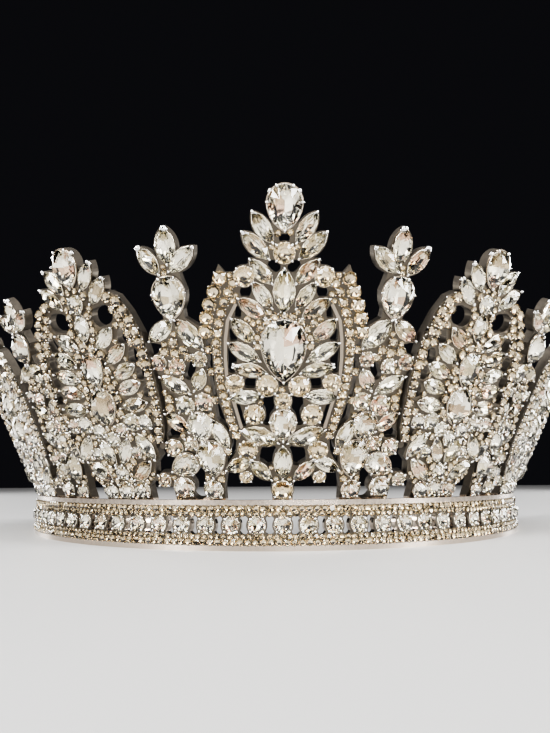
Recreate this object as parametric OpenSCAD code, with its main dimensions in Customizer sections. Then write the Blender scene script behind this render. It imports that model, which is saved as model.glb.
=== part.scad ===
/* [Band] */
// Outer radius of the band that goes round the head
band_radius = 82; // [76:1:90]
// Height of the band
band_h = 11.3; // [10:0.1:13]
// Thickness of the band, rims left out
band_t = 2.2; // [1.8:0.1:3]
// Height of the smooth rims along both edges of the band
rim_h = 1.2; // [0.8:0.1:1.6]
// How far the rims stand out from the face of the band
rim_out = 0.4; // [0.2:0.1:0.8]
// Arc that the band covers, in degrees; the rest is open at the back
band_arc = 196; // [190:2:220]
// Number of round stones along the middle of the band
band_stones = 47; // [39:2:47]
// Diameter of the round stones of the band
band_stone_d = 3.9; // [3:0.1:4.1]
// Width of the slots between the stones of the band
slot_w = 1.9; // [1.4:0.1:2]
// Height of the slots between the stones of the band
slot_h = 4.2; // [3:0.1:4.8]

/* [Castings] */
// Lean of the peaks and finials, outwards from upright, in degrees
flare = 26; // [22:1:30]
// Thickness of a casting
cast_t = 2; // [1.6:0.1:2.6]
// How far the face of a casting lies inside the face of the band, at its foot
cast_inset = 1.1; // [0.8:0.1:1.3]
// Angle from one peak or finial to the next
bay_angle = 13.7; // [13.2:0.1:14.2]
// Height of the front peak above the band, up the slant
front_h = 69.8; // [64:0.2:76]
// Height of the first peak on either side, up the slant
side_h = 61.8; // [56:0.2:66]
// Height of the first finial on either side, up the slant
finial_h = 63; // [56:0.2:68]
// How much lower each next peak or finial is than the one before it
drop = 8.2; // [5:0.1:10]

/* [Settings] */
// Depth of the seats that are sunk into the metal
seat_depth = 1; // [0.7:0.1:1.2]
// Room between a stone and its seat
seat_clear = 0.1; // [0.1:0.01:0.15]
// Width of the metal round a stone at the edge of a casting
edge_w = 0.5; // [0.4:0.1:0.8]
// Height of the collars round the pear stones, above the face of a casting
collar_rise = 0.4; // [0.2:0.1:0.6]
// Width of the smooth ribs of the front peak
rib_w = 0.7; // [0.6:0.1:1.1]
// Height of the straight side of a stone above the metal
girdle_rise = 0.3; // [0.2:0.1:0.6]
// Height of a stone's crown, as a share of its width
crown_share = 0.22; // [0.15:0.01:0.3]
// Size of a stone's flat table, as a share of the stone
table_share = 0.58; // [0.5:0.01:0.7]

/* [Hidden] */

$fn = 64;

// The castings stand on both sides of the front one, finials and peaks in turn
LAST = 6;
CASTINGS = [-LAST:LAST];
// Round end of a pear's outline and straight part of a bar's, as shares of their widths
swell = 1.015;
waist = 0.98;
// How much longer a pointed outline is for a rim round it, as a multiple of the rim
pear_reach = 2.5;
navette_reach = 3;

// The castings are drawn in twentieths of the bay, which is the arc from one axis to the next
bay = band_radius * bay_angle * PI / 180;
unit = bay / 20;
cast_r = band_radius - cast_inset;
// How deep the foot of a casting goes into the band
foot = 0.8;
// How far a cut runs past the faces that it opens
through = 1;

// In the drawings, across is measured from the axis, up from the band, and turn is the
// tilt of the long axis. The rows of a peak are for its right half, and those off the
// axis are mirrored. A finial's rows are for the one left of the front peak, as a whole.
// Rows of stones are in order of size and place: the lower castings keep the first ones.

FRONT_TOP = 71.2;
// Columns: across, up, turn, length, width
FRONT_NAVETTES = [
    [4.6, 62.4, 56, 7.0, 3.0], [6.0, 58.7, 44, 7.4, 3.1], [4.9, 53.3, 47, 6.4, 2.9],
    [4.6, 48.3, 54, 6.4, 2.7], [6.9, 45.5, 35, 6.7, 3.0], [8.8, 40.6, 46, 6.7, 3.1],
    [8.7, 35.8, 30, 7.4, 3.0], [7.4, 31.8, 11, 7.0, 2.9], [8.5, 25.5, -2, 7.0, 3.0],
    [5.3, 16.1, 20, 8.5, 4.1], [5.1, 7.6, 44, 6.4, 2.8], [10.1, 9.1, -24, 5.8, 2.9],
    [0, 49.2, 90, 8.9, 4.4], [0, 9.5, 90, 7.8, 3.8]];
// Columns: across, up, turn, length, width; the place is the middle of the round end
FRONT_PEARS = [[0, 67.4, 0, 8.5, 6.7], [0, 38.2, 0, 13.4, 9.3], [0, 19.7, 0, 6.8, 5.2]];
// Columns: across, up, diameter
FRONT_ROUNDS = [
    [3.6, 28.1, 4.4], [6.5, 21.3, 4.3], [8.1, 12.8, 4.1], [8.6, 52.3, 3.9], [10.9, 28.8, 3.6],
    [8.5, 6.1, 2.5], [0, 57.2, 4.1], [0, 24.5, 3.3], [0, 2.7, 4.5]];
// Gaps that are cut through where no stone is; columns: across, up, turn, length, width
FRONT_GAPS = [
    [3.4, 22.4, 97, 7.4, 2.8], [3.3, 11.4, 100, 5.4, 4], [9.9, 21, 73, 6, 1.8],
    [7.3, 28.7, 0, 3.4, 2.4], [11.3, 34.2, 90, 6.4, 2], [11, 39.7, 88, 3.2, 1.8],
    [9.9, 44.6, 96, 2.8, 1.4], [8.1, 49.5, 112, 3.6, 2.4], [2.1, 54.5, 35, 3, 2],
    [0, 60.3, 0, 2.4, 1.6], [0, 28.8, 0, 2.2, 1.5]];
// Outline of the metal between the stones; columns: across, up
FRONT_CORE = [
    [0, -1], [2.4, -1], [2.4, 4.8], [4.8, 5.4], [8.2, 7.2], [12, 7.6], [13, 8.6],
    [11.8, 10.6], [10.9, 12.2], [10.7, 15.4], [12.2, 17.6], [13.2, 20.3], [14.4, 24],
    [15.3, 28], [15.6, 32.4], [15.8, 37], [17.6, 39.8], [17.7, 42.3], [16.9, 46.5],
    [15.5, 51], [14, 54.8], [12.6, 53.2], [10.2, 53.2], [8.6, 54.6], [6, 55.6], [4, 58],
    [3, 63], [0, 67]];

// Course of the smooth rib on each side; columns: across, up
FRONT_RIB = [
    [10.5, 46.2], [12.2, 42.8], [12.7, 38.8], [12.8, 34.7], [12.6, 30.6], [11.9, 27.2],
    [11.0, 24], [9.5, 18.4]];

SIDE_TOP = 63;
// The columns are those of the front peak
SIDE_NAVETTES = [
    [9.2, 24.5, 6, 7.2, 3.0], [4.8, 55.7, 52, 6.6, 2.9], [7.0, 52.0, 44, 6.8, 3.0],
    [9.4, 14.1, -56, 7.0, 3.1], [6.7, 7.8, 38, 7.2, 3.0], [5.7, 41.1, 36, 6.6, 2.9],
    [7.8, 37.1, 30, 6.6, 2.8], [8.8, 32.9, 18, 6.8, 2.9], [9.0, 28.9, 14, 6.8, 2.9],
    [2.7, 12.9, 62, 6.6, 2.9], [0, 44.3, 90, 6.2, 3.4]];
SIDE_PEARS = [[0, 59.3, 0, 8.2, 6.2], [0, 25.6, 0, 8.8, 7.0], [0, 35.0, 0, 7.8, 5.4]];
SIDE_ROUNDS = [
    [7.3, 20.4, 3.7], [11.3, 20.2, 3.0], [3.5, 18.5, 2.9], [6.2, 12.6, 2.3], [4.9, 2.6, 3.7],
    [0, 49.8, 3.8], [0, 16.2, 3.1], [0, 7.3, 3.2], [0, 2.7, 4]];
SIDE_GAPS = [
    [6.7, 46.3, 12, 6.2, 4.6], [13.2, 18.2, 85, 3.4, 3.2], [10.9, 41.2, 66, 4.2, 2.7],
    [12.5, 36.2, 80, 3.8, 2.5], [13.3, 31.9, 80, 3.2, 2.2], [13.8, 27.6, 80, 3.2, 2.1]];
SIDE_CORE = [
    [0, -1], [7.2, -1], [7.4, 3.6], [10, 6.3], [10.8, 9.4], [12.8, 11.2], [12.4, 14.4],
    [14.8, 14.6], [16.1, 18.4], [16.7, 24.5], [16.9, 29.6], [16.8, 36.8], [16.4, 41],
    [14.7, 46.2], [12.4, 50.2], [10.2, 51.5], [8, 51.8], [6, 55], [3.4, 58], [0, 60]];

FINIAL_TOP = 64.3;
FINIAL_NAVETTES = [
    [0.3, 59.8, 90, 7.2, 4.0], [-4.0, 57.0, 124, 6.7, 3.1], [3.4, 56.7, 38, 7.1, 3.4],
    [-3.6, 41.5, 35, 6.6, 3.2], [3.1, 40.4, -50, 8.3, 4.2], [-2.0, 28.9, -32, 7.4, 3.2],
    [7.2, 16.7, -66, 7.2, 3.2], [-2.8, 19.8, -42, 6.4, 2.9], [3.9, 29.8, 60, 4.9, 2.9]];
FINIAL_PEARS = [
    [-0.4, 49.7, 0, 8.6, 6.8], [4.3, 11.9, 0, 8.4, 6.0], [2.7, 19.4, 0, 6.4, 5.1],
    [-1.8, 9.5, -65, 6.3, 4.9]];
FINIAL_ROUNDS = [
    [-3.5, 3.5, 4.7], [3.8, 2.8, 4.3], [-0.3, 23.9, 4.2], [4.3, 24.6, 3.8], [-4.5, 13.6, 3.8],
    [-0.3, 14.5, 3.0], [-5.2, 34.3, 3.1], [-0.9, 33.3, 3.2], [4.6, 34.6, 2.9], [-8.3, 5.3, 2.9]];
FINIAL_GAPS = [[0.2, 4.4, 85, 8.8, 3.2], [2.0, 32, 68, 4.4, 2.2], [-4.2, 17, 30, 3.6, 2.8]];
FINIAL_CORE = [
    [-6.1, -1], [6.2, -1], [6.4, 3], [7.6, 8], [8.4, 12.4], [8.6, 17], [6.8, 20.6], [6.6, 27],
    [6.2, 32], [6.3, 36], [6.7, 39.6], [5.6, 42], [2.5, 44.2], [2.4, 46.4], [3.6, 50],
    [2.9, 52.6], [2.6, 54], [2.4, 58], [-2, 58], [-2.4, 54], [-3.2, 52.6], [-4.1, 50],
    [-2.9, 46.4], [-2.5, 44.2], [-6.4, 40.6], [-6.5, 39.2], [-3.8, 38.4], [-5.2, 36.4],
    [-6.8, 35], [-6.6, 32.8], [-5.6, 31], [-5.3, 27], [-5.4, 21], [-6.4, 14.6], [-5, 11],
    [-5, 7.5], [-9.4, 7], [-9.6, 4.4], [-6.4, 3.4]];
// Short bars that solder a finial to the peaks beside it
FINIAL_BARS = [
    [7.1, 36.6, 0, 3.2, 1.3], [7.0, 31.6, 0, 3.2, 1.3], [7.0, 25, 0, 3.6, 1.4],
    [8.6, 16.6, 0, 3.4, 1.5], [-6.7, 34.1, 0, 3, 1.3], [-6.0, 22.6, 0, 3.4, 1.3],
    [-6.6, 14, 0, 3.4, 1.4], [-10, 5.8, 0, 3, 1.5]];

// What stands at place n, counted from the front: 0 the front peak, 1 a finial, 2 a side peak
function kind(n) = n == 0 ? 0 : abs(n) % 2 == 1 ? 1 : 2;
function is_peak(n) = kind(n) != 1;
function navettes(n) = [FRONT_NAVETTES, FINIAL_NAVETTES, SIDE_NAVETTES][kind(n)];
function pears(n) = [FRONT_PEARS, FINIAL_PEARS, SIDE_PEARS][kind(n)];
function rounds(n) = [FRONT_ROUNDS, FINIAL_ROUNDS, SIDE_ROUNDS][kind(n)];
function gaps(n) = first([FRONT_GAPS, FINIAL_GAPS, SIDE_GAPS][kind(n)], abs(n) > 2 ? 2 : 11);
function core(n) = [FRONT_CORE, FINIAL_CORE, SIDE_CORE][kind(n)];
function top(n) = [FRONT_TOP, FINIAL_TOP, SIDE_TOP][kind(n)];
function height(n) =
    [front_h, finial_h - drop * (abs(n) - 1) / 2, side_h - drop * (abs(n) - 2) / 2][kind(n)];
function first(table, count) = [for (i = [0:min(count, len(table)) - 1]) table[i]];

// Scales of a drawing: up the slant, of the stones, and across the casting
function rise(n) = height(n) / top(n);
function gem(n) = min(unit, rise(n));
function spread(n) = (3 * unit + gem(n)) / 4;
// Finials right of the front peak are turned over, and peaks have both halves
function halves(n, across) = is_peak(n) ? (across == 0 ? [1] : [-1, 1]) : n < 0 ? [1] : [-1];

// How far from the axis of a pointed outline the centre of its arcs lies, where it is as
// wide as the radius r in the middle and its point is at the given reach
function arc_shift(reach, r) = (reach * reach - r * r) / (2 * r);
// Half the width of such an outline at a distance along its axis
function arc_half(reach, r, along) =
    sqrt(pow(arc_shift(reach, r) + r, 2) - along * along) - arc_shift(reach, r);

// A pointed oval along X
module navette_outline(length, width) {
    shift = arc_shift(length / 2, width / 2);
    intersection() {
        translate([0, shift]) circle(shift + width / 2);
        translate([0, -shift]) circle(shift + width / 2);
    }
}

// A drop with its point down, about the middle of its round end
module pear_outline(length, width) {
    r = width / 2;
    reach = length - r;
    shift = arc_shift(reach, r);
    circle(r * swell);
    intersection() {
        translate([-shift, 0]) circle(shift + r);
        translate([shift, 0]) circle(shift + r);
        translate([-width, -2 * reach]) square([2 * width, 2 * reach]);
    }
}

// A bar along X with round ends
module bar_outline(length, width) {
    square([length - width, width * waist], center = true);
    for (end = [-1, 1]) translate([end * (length - width) / 2, 0]) circle(width / 2);
}

// Place of a row of a table on casting n, on one half of it
module at(n, row, half) {
    translate([half * row[0] * spread(n), row[1] * rise(n)]) rotate(half * row[2]) children();
}

// Outlines of the stones of casting n, each grown by a rim
module pear_outlines(n, rim) {
    for (s = pears(n)) for (half = halves(n, s[0]))
        at(n, s, half) pear_outline(s[3] * gem(n) + pear_reach * rim, s[4] * gem(n) + 2 * rim);
}

module stone_outlines(n, rim) {
    pear_outlines(n, rim);
    for (s = navettes(n)) for (half = halves(n, s[0]))
        at(n, s, half)
            navette_outline(s[3] * gem(n) + navette_reach * rim, s[4] * gem(n) + 2 * rim);
    for (s = rounds(n)) for (half = halves(n, s[0]))
        translate([half * s[0] * spread(n), s[1] * rise(n)]) circle(s[2] * gem(n) / 2 + rim);
}

module bars(n, table) {
    for (s = table) for (half = halves(n, s[0]))
        at(n, s, half) bar_outline(s[3] * spread(n), s[4] * spread(n));
}

module metal_outline(n) {
    difference() {
        for (half = halves(n, 1))
            polygon([for (p = core(n)) [half * p[0] * spread(n), max(p[1] * rise(n), -foot)]]);
        bars(n, gaps(n));
    }
    stone_outlines(n, edge_w);
    if (!is_peak(n)) bars(n, FINIAL_BARS);
}

// A strip of the rib's width along a course of points
module rib_outline(n, course) {
    points = [for (p = course) [p[0] * spread(n), p[1] * rise(n)]];
    for (i = [1:len(points) - 1]) {
        step = points[i] - points[i - 1];
        translate((points[i] + points[i - 1]) / 2) rotate(atan2(step[1], step[0]))
            bar_outline(norm(step) + rib_w, rib_w);
    }
}

// What stands up from the face of casting n
module relief_outline(n) {
    difference() {
        union() {
            pear_outlines(n, edge_w);
            if (kind(n) == 0) for (half = [0, 1]) mirror([half, 0]) rib_outline(n, FRONT_RIB);
        }
        stone_outlines(n, seat_clear);
    }
}

// Place on the face of casting n: X goes along it, Y up it and Z out of it
module on_casting(n) {
    rotate([0, 0, n * bay_angle]) translate([0, -cast_r, band_h]) rotate([90 + flare, 0, 0])
        children();
}

module casting(n) {
    on_casting(n) {
        translate([0, 0, -cast_t]) linear_extrude(height = cast_t - seat_depth) metal_outline(n);
        translate([0, 0, -seat_depth]) linear_extrude(height = seat_depth) difference() {
            metal_outline(n);
            stone_outlines(n, seat_clear);
        }
        translate([0, 0, -seat_depth / 2]) linear_extrude(height = seat_depth / 2 + collar_rise)
            relief_outline(n);
    }
}

// Angle from one stone of the band to the next, and the same along the band
band_step = band_arc / band_stones;
band_pitch = band_radius * band_step * PI / 180;
BAND_STONES = [0:band_stones - 1];

// Place on the face of the band at a number of steps from its left end
module on_band(steps) {
    rotate([0, 0, (steps + 0.5) * band_step - band_arc / 2])
        translate([0, -band_radius, band_h / 2]) rotate([90, 0, 0]) children();
}

// The slot between two stones, narrowed in the middle by the metal round them
module slot_outline() {
    difference() {
        rotate(90) bar_outline(slot_h, slot_w);
        for (side = [-0.5, 0.5])
            translate([side * band_pitch, 0]) circle(band_stone_d / 2 + edge_w);
    }
}

module band() {
    difference() {
        rotate([0, 0, -90 - band_arc / 2]) rotate_extrude(angle = band_arc) polygon([
            [band_radius - band_t, 0], [band_radius + rim_out, 0], [band_radius + rim_out, rim_h],
            [band_radius, rim_h], [band_radius, band_h - rim_h],
            [band_radius + rim_out, band_h - rim_h], [band_radius + rim_out, band_h],
            [band_radius - band_t, band_h]]);
        for (i = BAND_STONES)
            on_band(i) translate([0, 0, -seat_depth])
                cylinder(h = seat_depth + rim_out + through, r = band_stone_d / 2 + seat_clear);
        for (i = [0:band_stones - 2])
            on_band(i + 0.5) translate([0, 0, -band_t - through])
                linear_extrude(height = band_t + rim_out + 2 * through) slot_outline();
    }
}

module frame() {
    color("silver") union() {
        band();
        for (n = CASTINGS) casting(n);
    }
}

// Outlines of the cut stones, as points that go round to the left
function round_points(d) = [for (a = [22.5:45:337.5]) d / 2 * [cos(a), sin(a)]];
function navette_points(length, width) =
    [for (side = [-1, 1]) for (i = [-2:1])
        [-side * i * length / 4, side * arc_half(length / 2, width / 2, i * length / 4)]];
function pear_points(length, width) =
    let (r = width / 2, reach = length - r)
    concat([for (a = [0:45:180]) r * [cos(a), sin(a)]],
           [for (i = [1, 2]) [-arc_half(reach, r, i * reach / 3), -i * reach / 3]],
           [[0, -reach]],
           [for (i = [2, 1]) [arc_half(reach, r, i * reach / 3), -i * reach / 3]]);

// A cut stone in its seat: a flat back, a straight side, a ring of facets and a table
module cut_stone(outline, width, middle) {
    count = len(outline);
    ring = [0:count - 1];
    rings = [
        [for (p = outline) [p[0], p[1], seat_clear - seat_depth]],
        [for (p = outline) [p[0], p[1], girdle_rise]],
        [for (p = outline) let (q = middle + table_share * (p - middle))
            [q[0], q[1], girdle_rise + crown_share * width]]];
    polyhedron(
        points = concat(rings[0], rings[1], rings[2]),
        faces = concat(
            [[for (i = ring) i]],
            [for (level = [0, count]) for (i = ring) let (next = (i + 1) % count)
                [level + count + i, level + count + next, level + next, level + i]],
            [[for (i = ring) 3 * count - 1 - i]]));
}

// Stones of casting n: navettes and rounds by how many rows of their tables, pears by row
module navette_stones(n, count) {
    for (s = first(navettes(n), count)) for (half = halves(n, s[0]))
        on_casting(n) at(n, s, half)
            cut_stone(navette_points(s[3] * gem(n), s[4] * gem(n)), s[4] * gem(n), [0, 0]);
}

module round_stones(n, count) {
    for (s = first(rounds(n), count)) for (half = halves(n, s[0]))
        on_casting(n) translate([half * s[0] * spread(n), s[1] * rise(n)])
            cut_stone(round_points(s[2] * gem(n)), s[2] * gem(n), [0, 0]);
}

module pear_stone(n, row) {
    s = pears(n)[row];
    color("gainsboro") on_casting(n) at(n, s, halves(n, s[0])[0])
        cut_stone(pear_points(s[3] * gem(n), s[4] * gem(n)), s[4] * gem(n),
                  [0, (s[4] - s[3]) * gem(n) / 2]);
}

module band_stones_row() {
    color("white") for (i = BAND_STONES)
        on_band(i) cut_stone(round_points(band_stone_d), band_stone_d, [0, 0]);
}

module front_navettes() {
    color("white") navette_stones(0, len(FRONT_NAVETTES));
}

module front_rounds() {
    color("white") round_stones(0, len(FRONT_ROUNDS));
}

// The navettes of side peak n: the tall peaks show them all, the low ones the larger ones
module peak_navettes(n) {
    color("white") navette_stones(n, abs(n) == 2 ? len(SIDE_NAVETTES) : 4);
}

// The stones of finial n, apart from the pear in its neck
module finial_stones(n) {
    tall = abs(n) == 1;
    color("white") {
        navette_stones(n, tall ? len(FINIAL_NAVETTES) : 5);
        if (tall) round_stones(n, 3);
    }
    for (row = tall ? [1, 2, 3] : [1, 2]) pear_stone(n, row);
}

frame();
band_stones_row();  // band_stones
pear_stone(0, 0);  // front_crest_pear
pear_stone(0, 1);  // front_main_pear
pear_stone(0, 2);  // front_lower_pear
front_navettes();
front_rounds();
pear_stone(-2, 0);  // left_peak_1_crest_pear
pear_stone(-2, 1);  // left_peak_1_main_pear
pear_stone(-2, 2);  // left_peak_1_upper_pear
peak_navettes(-2);  // left_peak_1_navettes
pear_stone(-4, 0);  // left_peak_2_crest_pear
pear_stone(-4, 1);  // left_peak_2_main_pear
pear_stone(-4, 2);  // left_peak_2_upper_pear
peak_navettes(-4);  // left_peak_2_navettes
pear_stone(-6, 0);  // left_peak_3_crest_pear
pear_stone(-6, 1);  // left_peak_3_main_pear
pear_stone(-6, 2);  // left_peak_3_upper_pear
peak_navettes(-6);  // left_peak_3_navettes
pear_stone(2, 0);  // right_peak_1_crest_pear
pear_stone(2, 1);  // right_peak_1_main_pear
pear_stone(2, 2);  // right_peak_1_upper_pear
peak_navettes(2);  // right_peak_1_navettes
pear_stone(4, 0);  // right_peak_2_crest_pear
pear_stone(4, 1);  // right_peak_2_main_pear
pear_stone(4, 2);  // right_peak_2_upper_pear
peak_navettes(4);  // right_peak_2_navettes
pear_stone(6, 0);  // right_peak_3_crest_pear
pear_stone(6, 1);  // right_peak_3_main_pear
pear_stone(6, 2);  // right_peak_3_upper_pear
peak_navettes(6);  // right_peak_3_navettes
pear_stone(-1, 0);  // left_finial_1_neck_pear
finial_stones(-1);  // left_finial_1_stones
pear_stone(-3, 0);  // left_finial_2_neck_pear
finial_stones(-3);  // left_finial_2_stones
pear_stone(-5, 0);  // left_finial_3_neck_pear
finial_stones(-5);  // left_finial_3_stones
pear_stone(1, 0);  // right_finial_1_neck_pear
finial_stones(1);  // right_finial_1_stones
pear_stone(3, 0);  // right_finial_2_neck_pear
finial_stones(3);  // right_finial_2_stones
pear_stone(5, 0);  // right_finial_3_neck_pear
finial_stones(5);  // right_finial_3_stones
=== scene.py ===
"""Looks of the pageant crown: cut stones in the seats of the soldered frame, fine pave,
thin rims, claws and cups, on a plain pale floor, in soft studio light, from low down."""

import math
import random

import bpy
import numpy as np
from mathutils import Matrix, Vector


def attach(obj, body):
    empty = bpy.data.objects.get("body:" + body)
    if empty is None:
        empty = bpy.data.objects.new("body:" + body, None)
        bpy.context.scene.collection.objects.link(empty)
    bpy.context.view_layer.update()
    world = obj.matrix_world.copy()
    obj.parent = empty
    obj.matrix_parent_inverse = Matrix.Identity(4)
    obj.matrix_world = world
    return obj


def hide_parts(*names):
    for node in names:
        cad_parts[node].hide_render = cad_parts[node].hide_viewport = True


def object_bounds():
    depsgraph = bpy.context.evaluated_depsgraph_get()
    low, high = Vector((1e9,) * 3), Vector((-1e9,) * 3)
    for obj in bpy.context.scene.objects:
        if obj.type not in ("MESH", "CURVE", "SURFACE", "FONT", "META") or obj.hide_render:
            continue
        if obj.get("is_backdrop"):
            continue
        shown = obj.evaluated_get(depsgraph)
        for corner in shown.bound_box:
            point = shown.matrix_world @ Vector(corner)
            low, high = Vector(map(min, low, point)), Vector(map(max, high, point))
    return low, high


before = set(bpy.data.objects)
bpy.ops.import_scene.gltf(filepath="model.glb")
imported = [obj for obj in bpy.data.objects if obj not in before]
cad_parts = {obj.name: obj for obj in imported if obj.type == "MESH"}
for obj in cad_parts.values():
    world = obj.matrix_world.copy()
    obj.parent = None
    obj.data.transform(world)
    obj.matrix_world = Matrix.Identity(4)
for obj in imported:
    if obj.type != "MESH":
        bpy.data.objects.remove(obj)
cad_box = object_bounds()

# Sizes of the frame, in millimetres
MM = 0.001
BAND_R, BAND_H, RIM_H = 82.0, 11.3, 1.2
BAND_ARC, BAND_STONES, BAND_STONE_D = 196.0, 47, 3.9
FLARE, CAST_T, CAST_INSET, BAY_ANGLE = 26.0, 2.0, 1.1, 13.7
FRONT_H, SIDE_H, FINIAL_H, DROP = 69.8, 61.8, 63.0, 8.2
SEAT_DEPTH, SEAT_CLEAR, GIRDLE, RIB_W = 1.0, 0.1, 0.3, 0.7
CROWN_SHARE, BACK_SHARE, BACK_DEPTH = 0.24, 0.45, 0.6
# Castings on each side of the front peak, and those past which most gaps are left out
LAST, FULL_GAPS, FAR_GAPS = 6, 2, 2
CAST_R = BAND_R - CAST_INSET
UNIT = BAND_R * math.radians(BAY_ANGLE) / 20

# The tables are in twentieths of a bay: across, up, turn, length, width
FRONT_TOP = 71.2
FRONT_NAVETTES = [
    [4.6, 62.4, 56, 7.0, 3.0], [6.0, 58.7, 44, 7.4, 3.1], [4.9, 53.3, 47, 6.4, 2.9],
    [4.6, 48.3, 54, 6.4, 2.7], [6.9, 45.5, 35, 6.7, 3.0], [8.8, 40.6, 46, 6.7, 3.1],
    [8.7, 35.8, 30, 7.4, 3.0], [7.4, 31.8, 11, 7.0, 2.9], [8.5, 25.5, -2, 7.0, 3.0],
    [5.3, 16.1, 20, 8.5, 4.1], [5.1, 7.6, 44, 6.4, 2.8], [10.1, 9.1, -24, 5.8, 2.9],
    [0, 49.2, 90, 8.9, 4.4], [0, 9.5, 90, 7.8, 3.8]]
FRONT_PEARS = [[0, 67.4, 0, 8.5, 6.7], [0, 38.2, 0, 13.4, 9.3], [0, 19.7, 0, 6.8, 5.2]]
FRONT_ROUNDS = [
    [3.6, 28.1, 4.4], [6.5, 21.3, 4.3], [8.1, 12.8, 4.1], [8.6, 52.3, 3.9], [10.9, 28.8, 3.6],
    [8.5, 6.1, 2.5], [0, 57.2, 4.1], [0, 24.5, 3.3], [0, 2.7, 4.5]]
FRONT_GAPS = [
    [3.4, 22.4, 97, 7.4, 2.8], [3.3, 11.4, 100, 5.4, 4], [9.9, 21, 73, 6, 1.8],
    [7.3, 28.7, 0, 3.4, 2.4], [11.3, 34.2, 90, 6.4, 2], [11, 39.7, 88, 3.2, 1.8],
    [9.9, 44.6, 96, 2.8, 1.4], [8.1, 49.5, 112, 3.6, 2.4], [2.1, 54.5, 35, 3, 2],
    [0, 60.3, 0, 2.4, 1.6], [0, 28.8, 0, 2.2, 1.5]]
FRONT_CORE = [
    [0, -1], [2.4, -1], [2.4, 4.8], [4.8, 5.4], [8.2, 7.2], [12, 7.6], [13, 8.6],
    [11.8, 10.6], [10.9, 12.2], [10.7, 15.4], [12.2, 17.6], [13.2, 20.3], [14.4, 24],
    [15.3, 28], [15.6, 32.4], [15.8, 37], [17.6, 39.8], [17.7, 42.3], [16.9, 46.5],
    [15.5, 51], [14, 54.8], [12.6, 53.2], [10.2, 53.2], [8.6, 54.6], [6, 55.6], [4, 58],
    [3, 63], [0, 67]]
FRONT_RIB = [
    [10.5, 46.2], [12.2, 42.8], [12.7, 38.8], [12.8, 34.7], [12.6, 30.6], [11.9, 27.2],
    [11.0, 24], [9.5, 18.4]]
# Courses of pave: diameter, pitch, points (across, up)
FRONT_PAVE = [
    [3.2, 3.35, [[13.8, 52], [15.6, 47.6], [16.7, 43.8], [17.0, 40.4]]],
    [2.2, 2.25, [[10.9, 51], [12.1, 48.6], [13.1, 46], [13.9, 43.2], [14.4, 40.6], [14.6, 38]]],
    [2.0, 2.1, [[14.6, 36], [14.3, 31.6], [13.7, 27.4], [12.7, 23.2], [11.6, 19.4], [10.7, 16.4]]]]

SIDE_TOP = 63.0
SIDE_NAVETTES = [
    [9.2, 24.5, 6, 7.2, 3.0], [4.8, 55.7, 52, 6.6, 2.9], [7.0, 52.0, 44, 6.8, 3.0],
    [9.4, 14.1, -56, 7.0, 3.1], [6.7, 7.8, 38, 7.2, 3.0], [5.7, 41.1, 36, 6.6, 2.9],
    [7.8, 37.1, 30, 6.6, 2.8], [8.8, 32.9, 18, 6.8, 2.9], [9.0, 28.9, 14, 6.8, 2.9],
    [2.7, 12.9, 62, 6.6, 2.9], [0, 44.3, 90, 6.2, 3.4]]
SIDE_PEARS = [[0, 59.3, 0, 8.2, 6.2], [0, 25.6, 0, 8.8, 7.0], [0, 35.0, 0, 7.8, 5.4]]
SIDE_ROUNDS = [
    [7.3, 20.4, 3.7], [11.3, 20.2, 3.0], [3.5, 18.5, 2.9], [6.2, 12.6, 2.3], [4.9, 2.6, 3.7],
    [0, 49.8, 3.8], [0, 16.2, 3.1], [0, 7.3, 3.2], [0, 2.7, 4]]
SIDE_GAPS = [
    [6.7, 46.3, 12, 6.2, 4.6], [13.2, 18.2, 85, 3.4, 3.2], [10.9, 41.2, 66, 4.2, 2.7],
    [12.5, 36.2, 80, 3.8, 2.5], [13.3, 31.9, 80, 3.2, 2.2], [13.8, 27.6, 80, 3.2, 2.1]]
SIDE_CORE = [
    [0, -1], [7.2, -1], [7.4, 3.6], [10, 6.3], [10.8, 9.4], [12.8, 11.2], [12.4, 14.4],
    [14.8, 14.6], [16.1, 18.4], [16.7, 24.5], [16.9, 29.6], [16.8, 36.8], [16.4, 41],
    [14.7, 46.2], [12.4, 50.2], [10.2, 51.5], [8, 51.8], [6, 55], [3.4, 58], [0, 60]]
SIDE_PAVE = [
    [2.7, 2.85, [[9.6, 50.3], [11.7, 49.2], [13.3, 46], [15.1, 41.2], [15.5, 37], [15.6, 33.6]]],
    [2.1, 2.2, [[10.3, 47.4], [11.4, 45], [12.9, 41.4], [13.1, 39.4]]],
    [2.2, 2.3, [[15.6, 31.2], [15.5, 25], [15, 19.6], [13.9, 15.8]]]]

FINIAL_TOP = 64.3
FINIAL_NAVETTES = [
    [0.3, 59.8, 90, 7.2, 4.0], [-4.0, 57.0, 124, 6.7, 3.1], [3.4, 56.7, 38, 7.1, 3.4],
    [-3.6, 41.5, 35, 6.6, 3.2], [3.1, 40.4, -50, 8.3, 4.2], [-2.0, 28.9, -32, 7.4, 3.2],
    [7.2, 16.7, -66, 7.2, 3.2], [-2.8, 19.8, -42, 6.4, 2.9], [3.9, 29.8, 60, 4.9, 2.9]]
FINIAL_PEARS = [
    [-0.4, 49.7, 0, 8.6, 6.8], [4.3, 11.9, 0, 8.4, 6.0], [2.7, 19.4, 0, 6.4, 5.1],
    [-1.8, 9.5, -65, 6.3, 4.9]]
FINIAL_ROUNDS = [
    [-3.5, 3.5, 4.7], [3.8, 2.8, 4.3], [-0.3, 23.9, 4.2], [4.3, 24.6, 3.8], [-4.5, 13.6, 3.8],
    [-0.3, 14.5, 3.0], [-5.2, 34.3, 3.1], [-0.9, 33.3, 3.2], [4.6, 34.6, 2.9], [-8.3, 5.3, 2.9]]
FINIAL_GAPS = [[0.2, 4.4, 85, 8.8, 3.2], [2.0, 32, 68, 4.4, 2.2], [-4.2, 17, 30, 3.6, 2.8]]
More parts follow.
